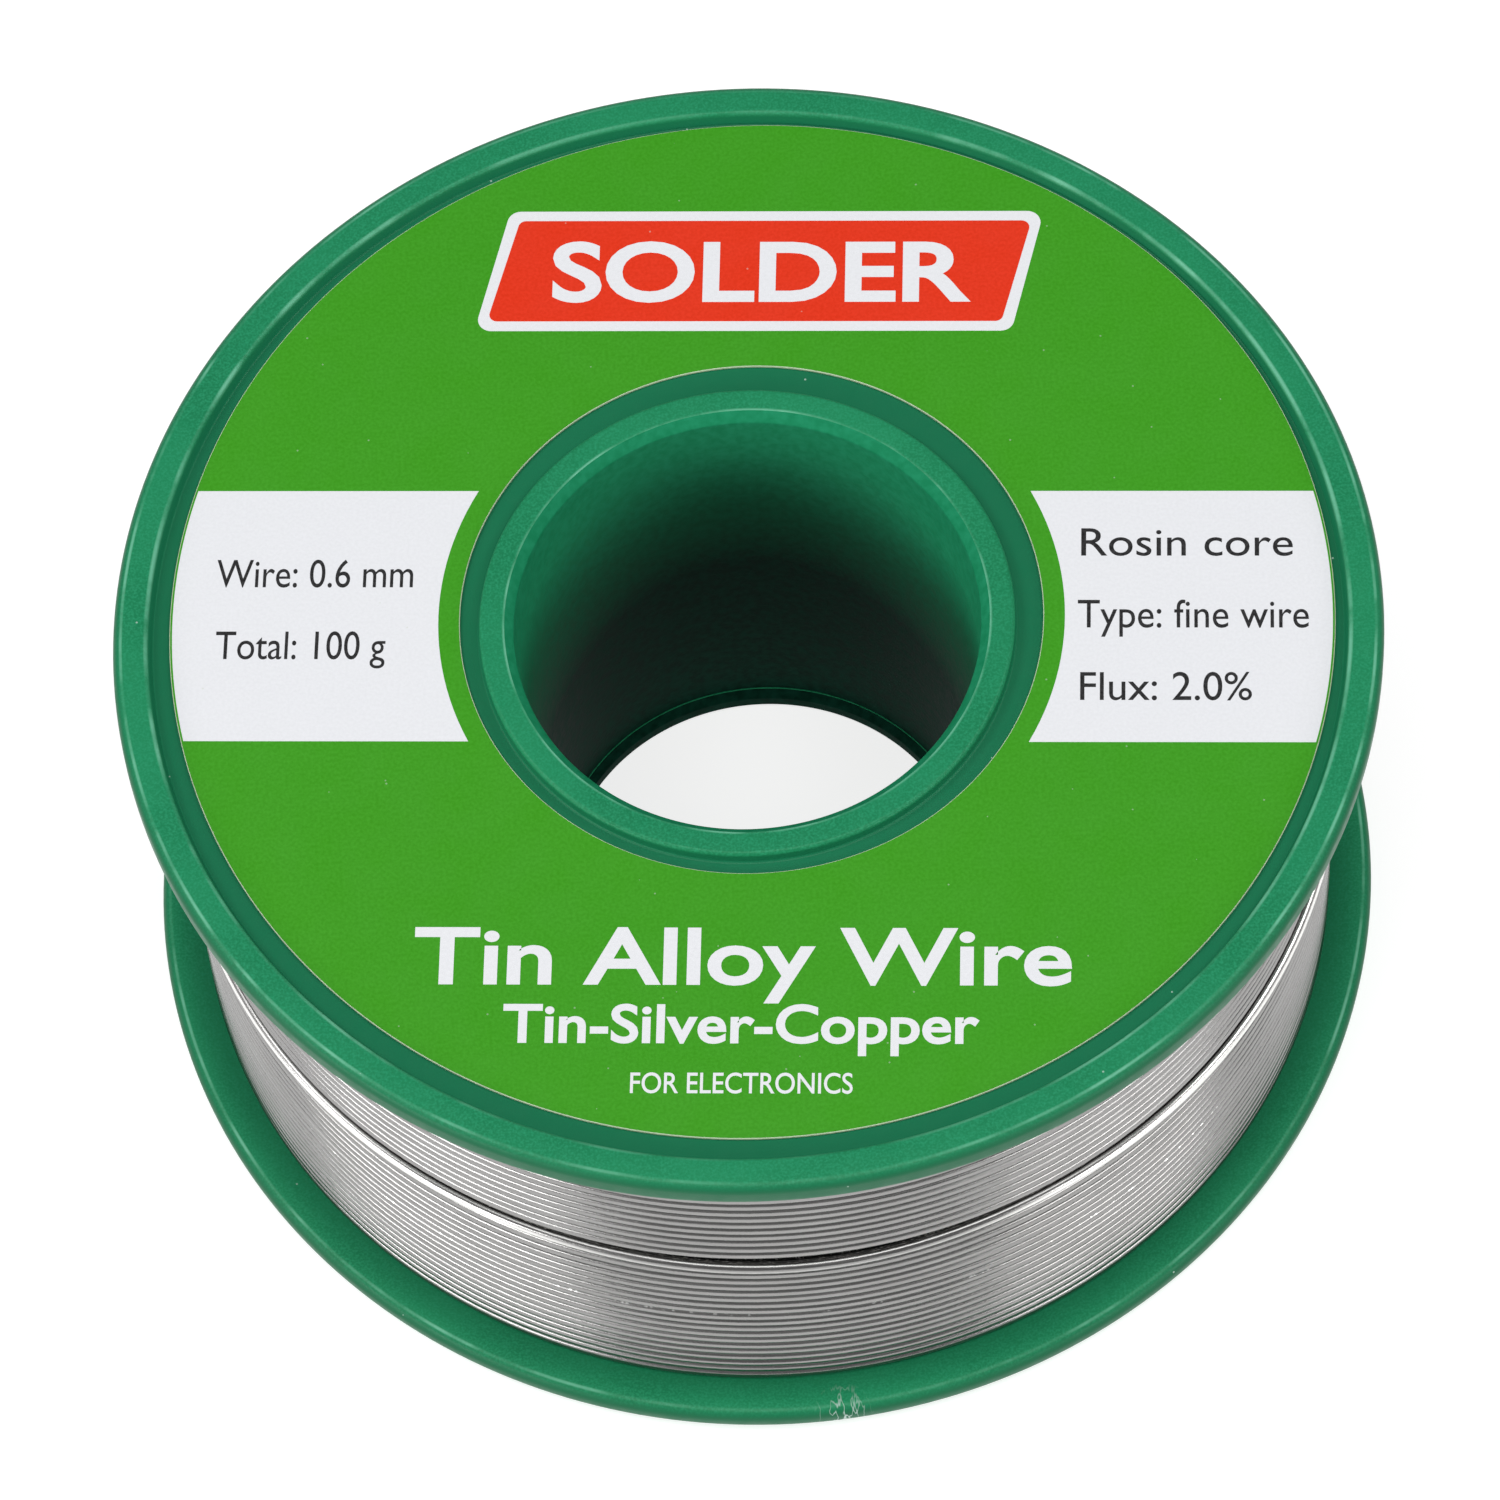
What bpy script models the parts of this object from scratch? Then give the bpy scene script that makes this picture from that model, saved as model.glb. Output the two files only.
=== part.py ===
"""Solder wire spool: two green mouldings snapped together, a face label, and a flux-cored wire wound in layers.

The spool's axis is Z, it stands on its lower flange, and its origin is the centre of the bottom face.
"""

import math

import bmesh
import bpy
from mathutils import Matrix, Vector

MM = 0.001

# Driving dimensions, in millimetres.
HEIGHT = 24.2
FLANGE_RADIUS = 27.6
WIRE_DIAMETER = 0.6
LAYERS = 9
LAYER_STEP = 0.535  # a turn sits in the valley between two turns of the layer below
BARREL_RADIUS = 20.9
BARREL_WALL = 1.2

# The flange section. Depths count from the outside face.
RIM_DEPTH = 1.45
RIM_INNER_RADIUS = 26.1
RECESS_RADIUS = 25.9
CREST_RADIUS = 26.3
CREST_ROUND = 0.5
WEB_OUTER_RADIUS = 25.85
HUB_RING_RADIUS = 11.65
TOP_EDGE_ROUND = 0.45
TOP_RECESS_DEPTH = 0.65
TOP_WEB_DEPTH = 1.35
FOOT_EDGE_ROUND = 0.8
FOOT_RECESS_DEPTH = 0.4
FOOT_WEB_DEPTH = 1.2

# The bore tube of the upper moulding, and the lip of the lower one that it stands on.
BORE_TOP_RADIUS = 10.15
BORE_LOW_RADIUS = 9.55
LEAD_IN_WIDTH = 0.4
LEAD_IN_DEPTH = 0.45
TUBE_TOP_RADIUS = 11.25
TUBE_END_RADIUS = 10.75
LIP_RADIUS = 9.2
LIP_TOP = 1.0
LIP_SLOPE = 0.35
LIP_EDGE = 0.1
SOCKET_RADIUS = 10.9
SOCKET_WALL = 0.8
SOCKET_TOP = 2.4
SPIGOT_HEIGHT = 2.6
SPIGOT_WALL = 1.1
SPIGOT_CLEARANCE = 0.1
SEAT_GAP = 0.05

RIBS = 6
RIB_THICKNESS = 1.0
RIB_BITE = 0.3
RIB_CLEARANCE = 0.4

# The label, which sits a little off centre in its recess.
LABEL_INNER_RADIUS = 12.68
LABEL_OUTER_RADIUS = 25.34
LABEL_THICKNESS = 0.12
LABEL_GAP = 0.04
LABEL_OFFSET = (0.2, 0.4)

# The winding: the outer layer has a gap one turn wide, and the wire's free end lies in it at the back.
FLANGE_CLEARANCE = 0.1
LAYER_GAP = 0.06
OUTER_GAP_Z = 12.95
OUTER_GAP_WIDTH = 1.1
TAKE_OFF_ANGLE = math.radians(52)
TAKE_OFF_ARC = math.radians(7)
FREE_END_ARC = math.radians(78)
END_GAP_ARC = math.radians(0.7)
FLUX_CORE_RADIUS = 0.09
SHEATH_BORE_RADIUS = 0.115

# The wire's first end goes through a hole in the barrel and is bent down inside it.
ANCHOR_ANGLE = math.radians(97)
ANCHOR_Z = 20.9
ANCHOR_HOLE_RADIUS = 0.6
ANCHOR_TAIL_LENGTH = 6.0

STEPS = 64
ARC_STEP = math.radians(30)

TOP_WEB_Z = HEIGHT - TOP_WEB_DEPTH
WIRE_RADIUS = WIRE_DIAMETER / 2

GREEN = ("spool_green", (0.030, 0.262, 0.118, 1.0), 0.42, 0.0)
LABEL = ("label_film", (0.060, 0.330, 0.012, 1.0), 0.38, 0.0)
TIN = ("solder_tin", (0.62, 0.62, 0.63, 1.0), 0.28, 1.0)
FLUX = ("rosin_flux", (0.62, 0.36, 0.10, 1.0), 0.30, 0.0)


def clear_scene():
    for obj in list(bpy.data.objects):
        bpy.data.objects.remove(obj)


def new_collection(name):
    collection = bpy.data.collections.new(name)
    bpy.context.scene.collection.children.link(collection)
    return collection


def material(spec):
    name, colour, roughness, metallic = spec
    made = bpy.data.materials.get(name)
    if made is None:
        made = bpy.data.materials.new(name)
        made.use_nodes = True
        shader = made.node_tree.nodes["Principled BSDF"]
        shader.inputs["Base Color"].default_value = colour
        shader.inputs["Roughness"].default_value = roughness
        shader.inputs["Metallic"].default_value = metallic
    return made


def add_object(name, data, collection, spec=None):
    obj = bpy.data.objects.new(name, data)
    collection.objects.link(obj)
    if spec:
        data.materials.append(material(spec))
    return obj


def fillet_arc(before, corner, after, radius):
    """The points of a round corner, from the side that leads to it to the side that leaves it."""
    to_before = (before - corner).normalized()
    to_after = (after - corner).normalized()
    half = to_before.angle(to_after) / 2
    start = corner + to_before * (radius / math.tan(half))
    end = corner + to_after * (radius / math.tan(half))
    centre = corner + (to_before + to_after).normalized() * (radius / math.sin(half))
    arm = start - centre
    sweep = math.atan2(arm.cross(end - centre), arm.dot(end - centre))
    steps = max(1, round(abs(sweep) / ARC_STEP))
    return [centre + Matrix.Rotation(sweep * step / steps, 2) @ arm for step in range(steps + 1)]


def rounded(corners):
    """The outline through the corners (r, z, fillet), with a fillet of 0 left sharp."""
    places = [Vector(corner[:2]) for corner in corners]
    points = []
    for i, (*_, fillet) in enumerate(corners):
        if fillet:
            after = places[(i + 1) % len(places)]
            points += fillet_arc(places[i - 1], places[i], after, fillet)
        else:
            points.append(places[i])
    return points


def turned(name, corners, spec, collection):
    """A solid of revolution about Z from a closed outline of corners (r, z, fillet) in millimetres."""
    outline = [(p.x * MM, 0.0, p.y * MM) for p in rounded(corners)]
    count = len(outline)
    mesh = bpy.data.meshes.new(name)
    mesh.from_pydata(outline, [(i, (i + 1) % count) for i in range(count)], [])
    obj = add_object(name, mesh, collection, spec)
    screw = obj.modifiers.new("turn", "SCREW")
    screw.axis = "Z"
    screw.angle = math.tau
    screw.steps = STEPS
    screw.render_steps = STEPS
    screw.use_merge_vertices = True
    screw.merge_threshold = 0.00001
    screw.use_smooth_shade = True
    return obj


def ring(name, inner, outer, low, high, spec, collection):
    """A plain ring: one layer of the winding, or the label."""
    corners = [(outer, high, 0), (outer, low, 0), (inner, low, 0), (inner, high, 0)]
    return turned(name, corners, spec, collection)


def boolean(obj, other, operation):
    modifier = obj.modifiers.new(operation.lower(), "BOOLEAN")
    modifier.operation = operation
    modifier.solver = "EXACT"
    modifier.object = other


def helper(obj):
    obj.hide_render = True
    obj.display_type = "WIRE"
    return obj


def rim_side(outer_z, inward, web_depth, recess_depth, edge_round):
    """A flange's outline from its winding side, over the crest and round the rim, to the hub ring."""
    rim_z = outer_z + inward * RIM_DEPTH
    floor_z = outer_z + inward * recess_depth
    web_z = outer_z + inward * web_depth
    return [
        (WEB_OUTER_RADIUS, web_z, 0.3),
        (CREST_RADIUS, rim_z, 0.3),
        (FLANGE_RADIUS, rim_z, CREST_ROUND),
        (FLANGE_RADIUS, outer_z, edge_round),
        (RIM_INNER_RADIUS, outer_z, 0.2),
        (RECESS_RADIUS, floor_z, 0.1),
        (HUB_RING_RADIUS, floor_z, 0),
        (HUB_RING_RADIUS, outer_z, 0.2),
    ]


def make_ribs(collection):
    """The radial ribs between the bore tube and the barrel, as one mesh of boxes."""
    low = FOOT_WEB_DEPTH + SPIGOT_HEIGHT + RIB_CLEARANCE
    high = TOP_WEB_Z + RIB_BITE
    near = TUBE_END_RADIUS - RIB_BITE
    far = BARREL_RADIUS - BARREL_WALL + RIB_BITE
    mesh = bpy.data.meshes.new("ribs")
    cage = bmesh.new()
    for i in range(RIBS):
        made = bmesh.ops.create_cube(cage, size=1.0)["verts"]
        size = Vector((far - near, RIB_THICKNESS, high - low)) * MM
        bmesh.ops.scale(cage, vec=size, verts=made)
        centre = Vector(((near + far) / 2, 0.0, (low + high) / 2)) * MM
        bmesh.ops.translate(cage, vec=centre, verts=made)
        turn = Matrix.Rotation(math.tau * (i + 0.5) / RIBS, 3, "Z")
        bmesh.ops.rotate(cage, cent=(0, 0, 0), matrix=turn, verts=made)
    cage.to_mesh(mesh)
    cage.free()
    return helper(add_object("ribs", mesh, collection))


def make_anchor_hole(collection):
    """The drill for the hole that the wire's first end goes through."""
    mesh = bpy.data.meshes.new("anchor_drill")
    drill = bmesh.new()
    bmesh.ops.create_cone(
        drill,
        cap_ends=True,
        segments=16,
        radius1=ANCHOR_HOLE_RADIUS * MM,
        radius2=ANCHOR_HOLE_RADIUS * MM,
        depth=4 * BARREL_WALL * MM,
    )
    drill.to_mesh(mesh)
    drill.free()
    obj = helper(add_object("anchor_drill", mesh, collection))
    radius = BARREL_RADIUS - BARREL_WALL / 2
    obj.location = polar(radius, ANCHOR_ANGLE, ANCHOR_Z)
    obj.rotation_euler = (0, math.pi / 2, ANCHOR_ANGLE)
    return obj


def make_spool_body(collection, cutters):
    """The upper moulding: flange, barrel, bore tube and ribs in one."""
    barrel_inner = BARREL_RADIUS - BARREL_WALL
    barrel_end = FOOT_WEB_DEPTH + SEAT_GAP
    tube_end = LIP_TOP + SEAT_GAP
    corners = [
        (BARREL_RADIUS, TOP_WEB_Z, 0),
        *rim_side(HEIGHT, -1, TOP_WEB_DEPTH, TOP_RECESS_DEPTH, TOP_EDGE_ROUND),
        (BORE_TOP_RADIUS + LEAD_IN_WIDTH, HEIGHT, 0),
        (BORE_TOP_RADIUS, HEIGHT - LEAD_IN_DEPTH, 0),
        (BORE_LOW_RADIUS, tube_end, 0),
        (TUBE_END_RADIUS, tube_end, 0),
        (TUBE_TOP_RADIUS, TOP_WEB_Z, 0),
        (barrel_inner, TOP_WEB_Z, 0),
        (barrel_inner, barrel_end, 0),
        (BARREL_RADIUS, barrel_end, 0),
    ]
    corners.reverse()
    body = turned("spool_body", corners, GREEN, collection)
    boolean(body, make_ribs(cutters), "UNION")
    boolean(body, make_anchor_hole(cutters), "DIFFERENCE")
    return body


def make_lower_flange(collection):
    """The lower moulding: a flange with a bore lip, a socket for the tube and a spigot for the barrel."""
    spigot_outer = BARREL_RADIUS - BARREL_WALL - SPIGOT_CLEARANCE
    spigot_inner = spigot_outer - SPIGOT_WALL
    spigot_top = FOOT_WEB_DEPTH + SPIGOT_HEIGHT
    lead = 0.3
    corners = [
        *rim_side(0.0, 1, FOOT_WEB_DEPTH, FOOT_RECESS_DEPTH, FOOT_EDGE_ROUND),
        (LIP_RADIUS + LIP_EDGE, 0.0, 0),
        (LIP_RADIUS, LIP_EDGE, 0),
        (LIP_RADIUS, LIP_TOP - LIP_SLOPE, 0),
        (BORE_LOW_RADIUS - 0.05, LIP_TOP, 0),
        (SOCKET_RADIUS, LIP_TOP, 0),
        (SOCKET_RADIUS, SOCKET_TOP, 0),
        (SOCKET_RADIUS + SOCKET_WALL, SOCKET_TOP, 0),
        (SOCKET_RADIUS + SOCKET_WALL, FOOT_WEB_DEPTH, 0),
        (spigot_inner, FOOT_WEB_DEPTH, 0),
        (spigot_inner, spigot_top, 0),
        (spigot_outer - lead, spigot_top, 0),
        (spigot_outer, spigot_top - lead, 0),
        (spigot_outer, FOOT_WEB_DEPTH, 0),
    ]
    return turned("lower_flange", corners, GREEN, collection)


def make_label(collection):
    """The printed film ring in the upper flange's recess."""
    low = HEIGHT - TOP_RECESS_DEPTH + LABEL_GAP
    high = low + LABEL_THICKNESS
    label = ring(
        "face_label", LABEL_INNER_RADIUS, LABEL_OUTER_RADIUS, low, high, LABEL, collection
    )
    label.location = (LABEL_OFFSET[0] * MM, LABEL_OFFSET[1] * MM, 0)
    return label


def layer_radii(index):
    """The inner and outer radius of a winding layer, counted from 0 at the barrel."""
    inner = BARREL_RADIUS + LAYER_STEP * index
    return inner + LAYER_GAP / 2, inner + LAYER_STEP - LAYER_GAP / 2


def make_winding(collection):
    """Each layer of turns as a ring. The outer layer is two groups of turns with a gap between them."""
    low = FOOT_WEB_DEPTH + FLANGE_CLEARANCE
    high = TOP_WEB_Z - FLANGE_CLEARANCE
    for index in range(LAYERS - 1):
        inner, outer = layer_radii(index)
        ring(f"winding_layer_{index + 1:02d}", inner, outer, low, high, TIN, collection)
    inner, outer = layer_radii(LAYERS - 1)
    gap_low = OUTER_GAP_Z - OUTER_GAP_WIDTH / 2
    gap_high = OUTER_GAP_Z + OUTER_GAP_WIDTH / 2
    ring("outer_turns_lower", inner, outer, low, gap_low, TIN, collection)
    ring("outer_turns_upper", inner, outer, gap_high, high, TIN, collection)


def polar(radius, angle, z):
    return Vector((radius * math.cos(angle), radius * math.sin(angle), z)) * MM


def wire(name, points, radius, spec, collection, capped=True):
    """A round wire along the points, in metres."""
    curve = bpy.data.curves.new(name, "CURVE")
    curve.dimensions = "3D"
    curve.bevel_depth = radius * MM
    curve.bevel_resolution = 2
    curve.use_fill_caps = capped
    spline = curve.splines.new("POLY")
    spline.points.add(len(points) - 1)
    for point, place in zip(spline.points, points):
        point.co = (*place, 1.0)
    return add_object(name, curve, collection, spec)


def as_mesh(obj, collection):
    """The same object as a mesh, with coinciding points welded."""
    graph = bpy.context.evaluated_depsgraph_get()
    mesh = bpy.data.meshes.new_from_object(obj.evaluated_get(graph))
    welded = bmesh.new()
    welded.from_mesh(mesh)
    bmesh.ops.remove_doubles(welded, verts=welded.verts, dist=0.000001)
    welded.to_mesh(mesh)
    welded.free()
    name = obj.name
    matrix = obj.matrix_world.copy()
    bpy.data.objects.remove(obj)
    made = bpy.data.objects.new(name, mesh)
    collection.objects.link(made)
    made.matrix_world = matrix
    return made


def groove_arc(start, sweep, count):
    """Points along the gap in the outer layer, where the wire's end lies on the layer below."""
    radius = layer_radii(LAYERS - 1)[0] + WIRE_RADIUS
    return [polar(radius, start + sweep * i / (count - 1), OUTER_GAP_Z) for i in range(count)]


def placed_at(obj, origin):
    """Moves the object's origin to a point on its joint's axis, and leaves its shape in place."""
    if obj.type == "CURVE":
        for point in obj.data.splines[0].points:
            point.co = (*(Vector(point.co[:3]) - origin), 1.0)
    else:
        for vertex in obj.data.vertices:
            vertex.co -= origin
    obj.location = origin
    return obj


def make_wire_ends(collection):
    """The wire's take-off point, its free end with the flux core, and its first end inside the barrel."""
    wire("wire_take_off", groove_arc(TAKE_OFF_ANGLE, TAKE_OFF_ARC, 3), WIRE_RADIUS, TIN, collection)

    start = TAKE_OFF_ANGLE + TAKE_OFF_ARC + END_GAP_ARC
    path = groove_arc(start, FREE_END_ARC, 25)
    sheath = as_mesh(
        wire("free_end_sheath", path, WIRE_RADIUS, TIN, collection, capped=False), collection
    )
    walls = sheath.modifiers.new("walls", "SOLIDIFY")
    walls.thickness = (WIRE_RADIUS - SHEATH_BORE_RADIUS) * MM
    walls.offset = -1
    core = wire("free_end_flux_core", path, FLUX_CORE_RADIUS, FLUX, collection)
    placed_at(sheath, path[0])
    placed_at(core, path[0])

    outside = BARREL_RADIUS - 0.1
    inside = BARREL_RADIUS - BARREL_WALL - 0.75
    bend = 0.7
    tail = [
        polar(outside, ANCHOR_ANGLE, ANCHOR_Z),
        polar(inside + bend / 2, ANCHOR_ANGLE, ANCHOR_Z),
        polar(inside + 0.15 * bend, ANCHOR_ANGLE, ANCHOR_Z - 0.15 * bend),
        polar(inside, ANCHOR_ANGLE, ANCHOR_Z - bend),
        polar(inside, ANCHOR_ANGLE, ANCHOR_Z - ANCHOR_TAIL_LENGTH),
    ]
    wire("wire_start", tail, WIRE_RADIUS, TIN, collection)


def main():
    clear_scene()
    spool = new_collection("solder_wire_spool")
    cutters = new_collection("cutters")
    make_spool_body(spool, cutters)
    make_lower_flange(spool)
    make_label(spool)
    make_winding(spool)
    make_wire_ends(spool)


main()
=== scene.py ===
"""The solder wire spool as it looks: fine green mouldings, a printed film label and real turns of wire.

Lengths below are in millimetres unless a name says otherwise; MM turns them into metres.
"""

import math
import random

import bpy
import numpy as np
from mathutils import Matrix, Vector


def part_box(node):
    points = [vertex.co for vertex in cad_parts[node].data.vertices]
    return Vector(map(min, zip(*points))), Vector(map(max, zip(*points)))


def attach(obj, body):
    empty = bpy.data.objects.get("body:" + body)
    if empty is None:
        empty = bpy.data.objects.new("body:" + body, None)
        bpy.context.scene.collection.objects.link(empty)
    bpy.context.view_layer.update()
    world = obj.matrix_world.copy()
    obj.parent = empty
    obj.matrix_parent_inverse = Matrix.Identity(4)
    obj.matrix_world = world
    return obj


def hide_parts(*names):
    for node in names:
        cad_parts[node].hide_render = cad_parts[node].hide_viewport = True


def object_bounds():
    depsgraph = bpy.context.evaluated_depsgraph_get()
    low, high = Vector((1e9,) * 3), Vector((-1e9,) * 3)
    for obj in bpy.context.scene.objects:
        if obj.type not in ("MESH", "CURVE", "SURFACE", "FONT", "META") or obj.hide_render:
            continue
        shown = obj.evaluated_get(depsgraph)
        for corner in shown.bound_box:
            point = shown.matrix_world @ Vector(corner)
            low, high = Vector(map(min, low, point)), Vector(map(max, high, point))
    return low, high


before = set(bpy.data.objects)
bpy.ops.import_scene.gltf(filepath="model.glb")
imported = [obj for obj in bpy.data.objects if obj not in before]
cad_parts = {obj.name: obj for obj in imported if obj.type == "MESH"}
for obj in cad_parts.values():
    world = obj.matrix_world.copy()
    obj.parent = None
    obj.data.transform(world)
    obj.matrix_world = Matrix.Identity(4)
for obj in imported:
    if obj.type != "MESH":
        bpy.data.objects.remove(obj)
cad_low, cad_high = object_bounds()

MM = 0.001
RANDOM = random.Random(6)

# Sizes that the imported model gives.
HEIGHT = cad_high.z / MM
FLANGE_RADIUS = cad_high.x / MM
LABEL_LOW, LABEL_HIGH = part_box("face_label")
WINDING_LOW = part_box("outer_turns_lower")[0].z / MM
WINDING_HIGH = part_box("outer_turns_upper")[1].z / MM
GAP_Z = (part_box("outer_turns_lower")[1].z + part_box("outer_turns_upper")[0].z) / 2 / MM
OUTER_WINDING_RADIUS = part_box("outer_turns_lower")[1].x / MM

# The mouldings' section. Depths count from the outside face.
RIM_DEPTH = 1.45
RIM_INNER_RADIUS = 26.1
RECESS_RADIUS = 25.9
CREST_RADIUS = 26.75
CREST_ROUND = 0.5
WEB_OUTER_RADIUS = 25.75
HUB_RING_RADIUS = 11.65
TOP_EDGE_ROUND = 0.45
TOP_RECESS_DEPTH = 0.65
TOP_WEB_DEPTH = 1.35
FOOT_EDGE_ROUND = 0.8
FOOT_RECESS_DEPTH = 0.4
FOOT_WEB_DEPTH = 1.2
BARREL_RADIUS = 20.9
BARREL_WALL = 1.2
BORE_TOP_RADIUS = 10.15
BORE_LOW_RADIUS = 9.55
LEAD_IN_WIDTH = 0.4
LEAD_IN_DEPTH = 0.45
TUBE_TOP_RADIUS = 11.25
TUBE_END_RADIUS = 10.75
LIP_RADIUS = 9.2
LIP_TOP = 1.0
LIP_SLOPE = 0.35
LIP_EDGE = 0.1
TUBE_BORE_REACH = BORE_TOP_RADIUS + LEAD_IN_WIDTH - 0.005  # takes in the lead-in
LIP_BORE_REACH = BORE_LOW_RADIUS + 0.03
SOCKET_RADIUS = 10.9
SOCKET_WALL = 0.8
SOCKET_TOP = 2.4
SPIGOT_HEIGHT = 2.6
SPIGOT_WALL = 1.1
SPIGOT_CLEARANCE = 0.1
SEAT_GAP = 0.05
SCUFF_PLACE = (1.6, -27.4, 0.8)
TURNED_STEPS = 256
ARC_STEP = math.radians(11)

# The wire and how it is wound.
WIRE_RADIUS = 0.3
LAYER_RISE = 0.52
TURNS_BELOW_GAP = 19
TURNS_ABOVE_GAP = 16
TAKE_OFF_ANGLE = math.radians(52)
TAKE_OFF_ARC = math.radians(7)
END_GAP_ARC = math.radians(0.7)
FREE_END_ARC = math.radians(78)
OUTER_STEPS = 180  # rings of points in a turn
UNDER_STEPS = 120
OUTER_SIDES = 12  # points in a ring
UNDER_SIDES = 10
END_SIDES = 16
CORE_SIDES = 12
END_SQUEEZE = 0.06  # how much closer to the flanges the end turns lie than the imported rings
CROSSOVER = 0.11  # the part of each turn in which it steps up to the next one
GAP_HALF = 0.72  # from the gap's middle to the middle of the turn on either side
DIVE = 0.05  # the part of a turn in which it comes up from the layer below
LOOSE_LIFT = 0.06  # how far the last lower turn stands out all round
STRAY_RISE = 0.6  # how far it strays up into the gap at the spool's sides
STRAY_LIFT = 0.14  # how far it stands out there, beside the loose lift
STRAY_FADE = 1.5  # the turns below it follow, less and less, within about so many turns
BUMPY_RADIUS = (0.012, 3.0)  # the turns' unevenness: how much, and how fast it changes
BUMPY_HEIGHT = (0.012, 2.2)
BUMPY_UNDER_RADIUS = (0.015, 3.0)
BUMPY_UNDER_HEIGHT = (0.03, 2.2)
END_LIFT = 0.04  # how far the wire's free end stands out, and how much more at its tip
TIP_LIFT = 0.06
NICKED_TURN_Z = GAP_Z - 5.1
SHEATH_BORE_RADIUS = 0.115
FLUX_CORE_RADIUS = 0.1

# The label: its own axes are turned a little about Z.
LABEL_TURN = math.radians(-5)
LABEL_OUTER_RADIUS = 25.34
LABEL_INNER_RADIUS = 12.68
LABEL_TOP = LABEL_HIGH.z / MM
LABEL_BASE = LABEL_LOW.z / MM
PANEL_HALF_HEIGHT = 6.27
PANEL_ARC_RADIUS = 13.62
PANEL_STEPS = 24
PRINT_STEP = 0.006  # the height of one ink above the one below
FILM_EDGE = 0.04  # the film's cut edge that shows outside the ink
FILM_SINK = 0.02  # how far the bare film lies below the ink
CAPITAL_SHARE = 0.72  # a capital's height as a share of the font's size

# Lines of text: name, words, (left, baseline), capital height, width, extra stroke weight.
WHITE_LINES = (
    ("name_line", "Tin Alloy Wire", (-14.0, -18.0), 2.75, 28.0, 0.07),
    ("alloy_line", "Tin-Silver-Copper", (-10.1, -20.8), 1.85, 20.2, 0.05),
    ("use_line", "FOR ELECTRONICS", (-4.7, -23.2), 1.0, 9.4, 0.01),
)
BLACK_LINES = (
    ("size_line", "Wire: 0.6 mm", (-23.4, 1.4), 1.45, 8.6, 0.0),
    ("mass_line", "Total: 100 g", (-23.3, -2.2), 1.45, 7.4, 0.0),
    ("core_line", "Rosin core", (14.15, 3.0), 1.45, 9.2, 0.0),
    ("type_line", "Type: fine wire", (14.15, -0.6), 1.45, 10.0, 0.0),
    ("flux_line", "Flux: 2.0%", (14.15, -4.2), 1.45, 7.4, 0.0),
)

# The camera, found from the object's own circles.
CAMERA_PLACE = (0.0, -187.95, HEIGHT + 327.4)
CAMERA_TILT = 1.0648
CAMERA_PAN = -0.0016
CAMERA_ROLL = -0.0768
CAMERA_LENS = 208.9
CAMERA_SENSOR = 36.0

# The studio, in metres and watts: the name, place, size and power of each light.
LIGHTS = (
    ("overhead", (0.0, -0.22, 0.95), (0.7, 0.5), 3.8),
    ("left_softbox", (-0.46, -0.33, 0.2), (0.46, 0.14), 1.45),
    ("right_softbox", (0.44, -0.38, 0.2), (0.4, 0.14), 0.9),
    ("left_high_softbox", (-0.4, 0.02, 0.5), (0.2, 0.2), 0.9),
    ("right_high_softbox", (0.4, 0.02, 0.5), (0.2, 0.2), 0.7),
)
LIGHT_TARGET = (0.0, 0.0, 0.012)
ROOM_GLOW = 0.22
FLOOR_HALF = 1.5
FLOOR_DROP = 0.00002  # keeps the floor just clear of the spool's foot
FLOOR_GREY = 0.45
FLOOR_GLOW = 0.70

# Colours, linear.
WHITE_LIGHT = (1, 1, 1, 1)
LAND_DARK = (0.009, 0.192, 0.078, 1)
LAND_LIGHT = (0.013, 0.228, 0.095, 1)
LAND_GRAIN = (0.020, 0.275, 0.126, 1)
# painted shade on the rims' outer walls and beside the winding
RIM_WALL_PAINTED_SHADE = (0.007, 0.122, 0.052, 1)
# painted shade in the flanges' recesses
RECESS_PAINTED_SHADE = (0.009, 0.168, 0.075, 1)
# pale rubbed plastic, and painted highlights along the edges
RUBBED_PLASTIC_AND_HIGHLIGHT = (0.150, 0.48, 0.31, 1)
DUST = (0.42, 0.58, 0.50, 1)
SCUFF = (0.50, 0.62, 0.58, 1)
# The bore's colour near its mouth, and the painted shade further down it.
BORE_NEAR = ((0.011, 0.215, 0.093, 1), (0.017, 0.255, 0.119, 1))
BORE_PAINTED_SHADE = ((0.002, 0.020, 0.012, 1), (0.004, 0.034, 0.021, 1))
GREEN_INK = (0.041, 0.308, 0.006)
WHITE_INK = (0.78, 0.79, 0.82)
RED_INK = (0.74, 0.030, 0.004)
BLACK_INK = (0.012, 0.012, 0.013)
BARE_FILM = (0.50, 0.62, 0.42)
INK_PIT = (0.55, 0.6, 0.5, 1)
WIRE_DULL = (0.285, 0.28, 0.275, 1)
WIRE_CLEAN = (0.355, 0.35, 0.345, 1)
WIRE_PIT = (0.18, 0.18, 0.18, 1)
WIRE_NICK = (0.95, 0.95, 0.93, 1)
# a painted highlight on the turn that stands out
WIRE_PAINTED_HIGHLIGHT = (0.88, 0.87, 0.85, 1)
# the layer in the gap: the wire with painted shade, and painted glint specks
WIRE_PAINTED_SHADE = ((0.15, 0.15, 0.152, 1), (0.26, 0.257, 0.25, 1))
WIRE_PAINTED_GLINT = (0.85, 0.84, 0.80, 1)
ROSIN = ((0.50, 0.24, 0.05, 1), (0.70, 0.42, 0.12, 1))


# ---------------------------------------------------------------- camera, floor and light


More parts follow.
